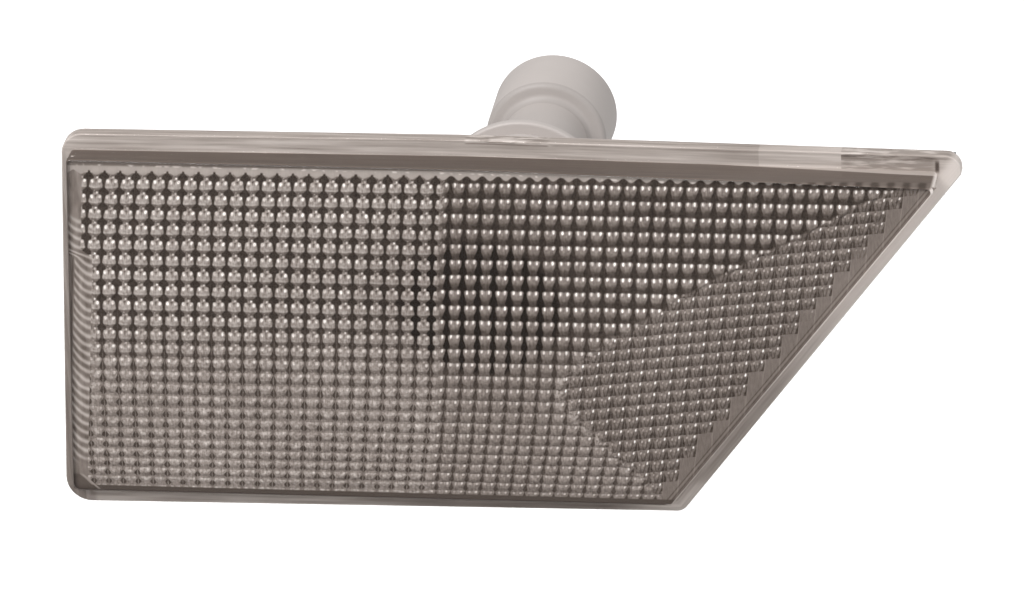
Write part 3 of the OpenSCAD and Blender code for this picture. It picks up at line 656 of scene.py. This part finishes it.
def optic_plastic(name):
    """Look of the pillow optics: bead chains at the left, barrels in the middle, darts in the wedge field,
    with painted highlights where each pillow gathers the light and painted shade in the gaps between the
    columns."""
    g = Graph(name)
    pillows = Pillows(g)
    value = pillows.left_end(pillows.rims(pillows.right_end(pillows.fields())))
    g.set(Base_Color=g.tone(value.most(0.019)), Roughness=0.5, IOR=1.45, Specular_IOR_Level=0.12,
          Normal=g.bump(pillows.fine, 0.2, 0.00008))
    return g.material


def edge_streaks(g, x, y, z, along, across):
    """Drawn-out noise whose lines run along the outline's edges."""
    left, top, bottom, slant = edge_distances(x, z)
    inset = left.least(top).least(bottom).least(slant)
    return g.drawn((x + z) * along, y * across, inset * across, 1.0, 4.0)


def flange_plastic(name):
    """Flange seen through the clear edge: pale, streaked along its length, with the moulding's gate scar
    on the top edge and scuffs near the tip; painted shade along its top and lower edges, and painted light
    from behind on its slanting edge."""
    g = Graph(name)
    x, y, z = g.millimetres()
    streak = edge_streaks(g, x, y, z, 0.10, 2.6)
    left, top_d, bottom, slant = edge_distances(x, z)
    value = 0.495 + (streak - 0.5) * 0.74 + g.noise(160.0, 3.0) * 0.08
    # Painted shade on the rolled edge on top of the flange, a shade darker than its front
    value = value * (1.0 - top_d.step(0.42, 0.28) * 0.20)
    top = top_d.step(2.2, 1.6)
    # Lighter stretch and rough window between the middle of the top and the tip
    value = value + x.band(28.4, 36.6, 0.05) * top * 0.10
    rough = x.step(36.55, 36.65) * x.step(46.6, 45.4) * top
    window = g.drawn(x * 0.30, y * 1.2, z * 2.4, 1.5, 4.0)
    value = rough.mix(value, 0.38 + window.step(0.44, 0.68) * 0.26 - top_d.band(0.25, 0.7, 0.1) * 0.10)
    # Gate scar
    gate = x.band(-0.9, 7.4, 0.2)
    value = value + gate * top_d.step(0.34, 0.2) * (window.step(0.42, 0.58) * 0.26 - 0.10)
    value = value - gate * top_d.band(0.36, 0.5, 0.05) * 0.22
    # Painted shade along the top edge past the scar, toning down the skin's highlight there
    value = value - x.step(7.4, 8.2) * top_d.band(0.28, 0.5, 0.06) * 0.12
    # Lower edge lies in painted shade, deepest in the middle, and the slanting edge is smooth and pale with
    # painted light from behind, more towards the top
    middle = x.step(-14.0, -4.0) * x.step(16.5, 11.0)
    low = bottom.step(1.9, 1.5)
    value = value * (1.0 - low * (middle * 0.38 + 0.16 - x.step(12.0, 18.0) * 0.14))
    pale = slant.step(2.3, 1.3) * z.step(-18.2, -17.0)
    lofty = z.step(-12.0, 8.0)
    value = pale.mix(value, 0.44 + lofty * 0.22 + (streak - 0.5) * (0.5 - lofty * 0.3))
    value = value * (1.0 - left.step(1.6, 1.0) * top_d.step(0.2, 2.0) * 0.26)
    value = value * (1.0 - left.step(3.2, 0.4) * 0.05)
    value = value * (1.0 - left.step(0.30, 0.2) * 0.25)
    value = (x.band(45.9, 46.3, 0.12) * z.band(16.5, 17.7, 0.3)).mix(value, 0.11)
    g.set(Base_Color=g.tone(value), Roughness=0.42, Specular_IOR_Level=0.2,
          Normal=g.bump(streak, 0.15, 0.0001),
          # Painted glow of light from behind on the slanting edge, towards the top
          Emission_Color=g.glow(pale * lofty * 0.08), Emission_Strength=1.0)
    return g.material


def wall_plastic(name):
    """Side of the raised front: dark with painted shade, with fine lengthwise lines."""
    g = Graph(name)
    x, y, z = g.millimetres()
    lines = g.drawn(x * 0.10, y * 3.4, z * 0.6, 1.0, 3.0)
    # Dark base tone: painted shade, as the dark inside shows through the clear wall
    value = 0.085 + lines * 0.07 + g.noise(300.0) * 0.02 + x.step(4.0, 30.0) * 0.03
    # Glint near the left corner
    value = value + x.band(-40.45, -40.20, 0.06) * y.band(-4.3, -4.1, 0.08) * 0.7
    # Pale foot, which rises towards the pointed end, where the first row shows through the wall
    tip = x.step(22.0, 50.0)
    lip = y - LENS_FRONT + tip * 1.1 + (lines - 0.5) * 0.2
    value = lip.step(-0.12, 0.12).mix(value, 0.40 + lines * 0.16)
    blobs = (x * (math.tau / 1.55)).math("COSINE")
    front = y - face_y(x, z)
    row_mask = (tip * 2.0 - 0.25 - front + g.noise(700.0) * 0.5).step(0.0, 0.5)
    row_tone = (blobs + g.noise(900.0) * 2.0 - 1.0).step(0.9, -0.9) * 0.10 + 0.085
    value = row_mask.mix(value, row_tone)
    # Slanting side, lit from behind towards the top
    lofty = z.step(-12.0, 8.0)
    lit = edge_distances(x, z)[3].step(2.4, 2.0)
    value = lit.mix(value, 0.46 + lofty * 0.22 + (lines - 0.5) * 0.3)
    g.set(Base_Color=g.tone(value), Roughness=0.5, Specular_IOR_Level=0.12,
          Emission_Color=g.glow(lit * (lofty * 0.17 + 0.03)), Emission_Strength=1.0)
    return g.material


def cover_plastic(name):
    """Outer skin of the clear moulding: see-through, with a Fresnel gloss and faint wipe marks."""
    g = Graph(name)
    wipes = g.noise(500.0, 4.0)
    g.set(Base_Color=(1.0, 0.985, 0.97, 1.0), Metallic=1.0, Roughness=wipes * 0.08 + 0.06)
    clear = g.node("ShaderNodeBsdfTransparent", {}, {"Color": (0.975, 0.972, 0.968, 1.0)})
    facing = g.node("ShaderNodeFresnel", {}, {"IOR": 1.45})
    join = g.node("ShaderNodeMixShader", {}, {0: facing * 0.32, 1: clear, 2: Sock(g, g.shader.outputs[0])})
    g.put(g.tree.nodes["Material Output"].inputs["Surface"], join)
    return g.material


class LAMP_OT_lens(bpy.types.Operator):
    """Clear lens: skin, flange, raised wall and pillow optics."""
    bl_idname = "lamp.lens"
    bl_label = "Lens"

    def execute(self, context):
        self.settings = context.scene.lamp
        pieces = (self.cover(), self.flange(), self.optics())
        for piece in pieces:
            finish_mesh(piece)
            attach(piece, "root")
            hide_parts("lens")
        return {"FINISHED"}

    def cover(self):
        """Outer skin: flange edge, foot fillet, raised wall, rounded front edge and tilted front."""
        rings = [at_y(outline_ring(0.12), LENS_BACK), at_y(outline_ring(0.0), LENS_BACK - 0.12)]
        edge_r, foot, round_r = 0.2, 0.2, 0.4
        for t in np.linspace(0, math.pi / 2, 4):
            ring = outline_ring(edge_r - edge_r * math.cos(t))
            rings.append(at_y(ring, LENS_FRONT + edge_r - edge_r * math.sin(t)))
        for t in np.linspace(0, math.pi / 2, 5):
            ring = outline_ring(FLANGE_W - foot + foot * math.sin(t), RAISED)
            rings.append(at_y(ring, LENS_FRONT - foot + foot * math.cos(t)))
        for t in np.linspace(0, math.pi / 2, 7):
            ring = outline_ring(FLANGE_W + 0.02 + round_r - round_r * math.cos(t), RAISED)
            rings.append(at_y(ring, face_y(ring[:, 0], ring[:, 1], round_r - round_r * math.sin(t))))
        edge = rings[-1][:, [0, 2]]
        middle = edge.mean(0)
        for s in np.linspace(0.85, 0.0, 8):
            ring = middle + (edge - middle) * s
            rings.append(at_y(ring, face_y(ring[:, 0], ring[:, 1])))
        return add_mesh("lens_skin", *loft(rings), cover_plastic("clear_skin"))

    def flange(self):
        """Body of the flange and the wall of the raised front, dark with painted shade, just inside the skin.
        """
        skin, slope, back = 0.06, 0.16, LENS_BACK - 0.02
        rings = [at_y(outline_ring(1.2), back), at_y(outline_ring(skin), back),
                 at_y(outline_ring(skin), LENS_FRONT + slope), at_y(outline_ring(slope), LENS_FRONT + skin),
                 at_y(outline_ring(FLANGE_W + skin, RAISED), LENS_FRONT + skin)]
        flange_bands = len(rings) - 1
        # Top of the wall, with a small slope that stays behind the skin's rounded front edge
        for inset, below in ((0.0, 0.40), (0.12, 0.22)):
            ring = outline_ring(FLANGE_W + skin + inset, RAISED)
            rings.append(at_y(ring, face_y(ring[:, 0], ring[:, 1], below)))
        points, faces = loft(rings)
        body = add_mesh("lens_flange", points, faces, flange_plastic("flange_plastic"))
        body.data.materials.append(wall_plastic("wall_plastic"))
        bands = np.arange(len(faces)) // len(ring)
        body.data.polygons.foreach_set("material_index", np.where(bands >= flange_bands, 1, 0))
        return body

    def optics(self):
        """Sheet of pillows a little behind the raised front."""
        points, faces = optic_sheet(step=0.2, depth=0.62, relief=self.settings.pillow_relief)
        return add_mesh("lens_optics", points, faces, optic_plastic("optic_plastic"))


def finish_mesh(thing):
    """Marks edges sharper than 32 degrees as sharp, so flats stay flat and rounds stay smooth."""
    thing.data.set_sharp_from_angle(angle=math.radians(32))


def turned(profile, steps=128):
    """A profile of radius and Y turned round the Y axis."""
    profile = np.asarray(profile, float)
    a = np.linspace(0, 2 * math.pi, steps, endpoint=False)
    r, y = profile[:, :1], profile[:, 1:]
    x = r * np.cos(a)[None]
    z = r * np.sin(a)[None]
    points = np.stack([x, np.broadcast_to(y, x.shape), z], -1).reshape(-1, 3)
    return points, grid_faces(len(profile), steps, wrap=True)[:, ::-1]


def arc(corner, y, r, a0, a1, n=7):
    """Quarter circle of radius r from angle a0 to a1 that rounds the square corner at a radius and y:
    centre plus r times (cos, sin)."""
    t = np.radians(np.linspace(a0, a1, n))
    middle = math.radians((a0 + a1) / 2)
    centre = (corner - math.copysign(r, math.cos(middle)), y - math.copysign(r, math.sin(middle)))
    return np.stack([centre[0] + r * np.cos(t), centre[1] + r * np.sin(t)], 1).tolist()


class LAMP_OT_holder(bpy.types.Operator):
    """Bulb holder: one turned moulding with plug, collar, neck and connector drum."""
    bl_idname = "lamp.holder"
    bl_label = "Bulb holder"

    def execute(self, context):
        # Holder colour with painted shade over the neck, the fillet above it and the drum's foot
        material = moulded_plastic("holder_plastic", tuple(context.scene.lamp.holder_colour), 0.5, HOLDER_PAINTED_SHADE)
        p = [(BORE_R, BORE_END), (BORE_R, PLUG_Y), (PLUG_R - LEAD_IN_R, PLUG_Y)]
        p += [(PLUG_R, PLUG_Y + LEAD_IN_Y), (PLUG_R, COLLAR_Y), (COLLAR_R - COLLAR_EDGE, COLLAR_Y)]
        p += arc(COLLAR_R, COLLAR_Y, COLLAR_EDGE, -90, 0) + arc(COLLAR_R, COLLAR_END, COLLAR_EDGE, 0, 90)
        p += [(NECK_R + FOOT_FILLET, COLLAR_END)] + arc(NECK_R, COLLAR_END, FOOT_FILLET, 270, 180)
        p += arc(NECK_R, DRUM_Y, NECK_FILLET, 180, 90)
        p += arc(DRUM_FOOT_R, DRUM_Y, DRUM_EDGE, -90, 0) + arc(DRUM_R, DRUM_END, DRUM_EDGE, 0, 90)
        p += arc(SOCKET_R, DRUM_END, RIM_EDGE, 90, 180) + [(SOCKET_R, SOCKET_Y), (0.01, SOCKET_Y)]
        points, faces = turned(p)
        holder = add_mesh("holder_moulding", points, faces, material)
        finish_mesh(holder)
        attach(holder, "root")
        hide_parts("bulb_holder")
        return {"FINISHED"}


def dress(node, material):
    """Gives a carried-over solid its finish in every slot."""
    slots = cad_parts[node].data.materials
    for k in range(len(slots)):
        slots[k] = material


class LAMP_OT_solids(bpy.types.Operator):
    """Finishes of the pieces whose solids are shown as they are."""
    bl_idname = "lamp.solids"
    bl_label = "Other pieces"

    def execute(self, context):
        dress("housing", moulded_plastic("housing_plastic", tuple(context.scene.lamp.housing_colour), 0.45))
        dress("gasket", soft_rubber("gasket_foam", (0.035, 0.035, 0.035)))
        dress("vent_cap", soft_rubber("vent_rubber", (0.03, 0.03, 0.03), 300.0))
        dress("seal_ring", soft_rubber("ring_rubber", (0.025, 0.025, 0.025), 300.0))
        dress("spring_clip", rolled_metal("clip_steel", (0.55, 0.55, 0.54)))
        brass = rolled_metal("contact_strip", (0.72, 0.62, 0.38))
        dress("contact_left", brass)
        dress("contact_right", brass)
        dress("bulb_glass", clear_glass("bulb_clear"))
        wire = rolled_metal("bulb_wire_metal", (0.5, 0.5, 0.5))
        dress("bulb_leads", wire)
        dress("filament", wire)
        return {"FINISHED"}


class LAMP_OT_stage(bpy.types.Operator):
    """White surroundings, soft lamps and the camera."""
    bl_idname = "lamp.stage"
    bl_label = "Stage"

    def execute(self, context):
        self.surroundings(context.scene)
        self.floor()
        self.lamps(context.scene)
        self.camera(context.scene)
        return {"FINISHED"}

    def surroundings(self, scene):
        """White world, full to the camera and through clear pieces, weaker as light and in gloss."""
        scene.world = bpy.data.worlds.new("white_studio")
        g = Graph("white_studio", scene.world)
        rays = g.node("ShaderNodeLightPath").socket.node.outputs
        strength = Sock(g, rays["Is Glossy Ray"]).mix(0.62, 0.3)
        for kind in ("Is Transmission Ray", "Is Camera Ray"):
            strength = Sock(g, rays[kind]).mix(strength, 1.0)
        g.set(Color=(1.0, 1.0, 1.0, 1.0), Strength=strength)
        scene.view_settings.view_transform = "Standard"

    def floor(self):
        """Pale floor some way under the lamp, so that its shadow stays soft."""
        low, half = -60.0, 3000.0
        points = [(-half, -half, low), (half, -half, low), (half, half, low), (-half, half, low)]
        g = Graph("pale_floor")
        seen = g.node("ShaderNodeLightPath") * 0.45 + 0.5
        speckle = g.noise(2.0) * 0.02 + seen
        glow = (seen - 0.5) * 0.8
        g.set(Base_Color=g.colour(speckle, speckle, speckle), Roughness=0.9,
              Emission_Color=g.colour(glow, glow, glow), Emission_Strength=1.0)
        add_mesh("floor", points, [(0, 1, 2, 3)], g.material, smooth=False)

    def lamps(self, scene):
        """Two soft square lamps, places and sizes in metres and powers in watts."""
        for name, place, size, power in (("key", (-0.34, -0.46, 0.64), 0.5, 6.3),
                                         ("fill", (0.65, -0.4, 0.45), 0.5, 1.6)):
            light = bpy.data.lights.new(name, "AREA")
            light.size, light.energy = size, power
            thing = bpy.data.objects.new(name, light)
            thing.location = place
            thing.rotation_euler = (-Vector(place)).to_track_quat("-Z", "Y").to_euler()
            scene.collection.objects.link(thing)

    def camera(self, scene):
        """Camera on the photo's side: turned to the right, raised and rolled, at distance from target."""
        azimuth, height, roll = (math.radians(a) for a in (8.9, 22.8, 2.4))
        distance, target = 0.9, Vector((0.0027857, 0.0, 0.0013356))
        level = Vector((math.sin(azimuth), -math.cos(azimuth), 0.0))
        away = level * math.cos(height) + Vector((0.0, 0.0, math.sin(height)))
        right = (-away).cross(Vector((0, 0, 1))).normalized()
        up = right.cross(-away)
        turn = Matrix.Rotation(-roll, 3, away)
        right, up = turn @ right, turn @ up
        data = bpy.data.cameras.new("photo_view")
        data.sensor_width = 36.0
        pixels_per_metre, photo_width = 9980.0, 1024.0
        data.lens = pixels_per_metre * distance * data.sensor_width / photo_width
        data.clip_start, data.clip_end = 0.05, 10.0
        camera = bpy.data.objects.new("photo_view", data)
        camera.matrix_world = Matrix((
            (right.x, up.x, away.x, target.x + distance * away.x),
            (right.y, up.y, away.y, target.y + distance * away.y),
            (right.z, up.z, away.z, target.z + distance * away.z),
            (0, 0, 0, 1)))
        scene.collection.objects.link(camera)
        scene.camera = camera


class LAMP_PT_panel(bpy.types.Panel):
    """Lists the sizes, colours and building steps."""
    bl_idname = "LAMP_PT_panel"
    bl_label = "Side Repeater Lamp"
    bl_space_type = "VIEW_3D"
    bl_region_type = "UI"
    bl_category = "Lamp"

    def draw(self, context):
        for key in LampSettings.__annotations__:
            self.layout.prop(context.scene.lamp, key)
        for step in STEPS:
            self.layout.operator(step.bl_idname)


STEPS = (LAMP_OT_lens, LAMP_OT_holder, LAMP_OT_solids, LAMP_OT_stage)
CLASSES = (LampSettings, *STEPS, LAMP_PT_panel)


def register():
    for item in CLASSES:
        bpy.utils.register_class(item)
    bpy.types.Scene.lamp = bpy.props.PointerProperty(type=LampSettings)


def unregister():
    del bpy.types.Scene.lamp
    for item in reversed(CLASSES):
        bpy.utils.unregister_class(item)


def main():
    register()
    for step in STEPS:
        group, name = step.bl_idname.split(".")
        getattr(getattr(bpy.ops, group), name)()


if __name__ == "__main__":
    main()
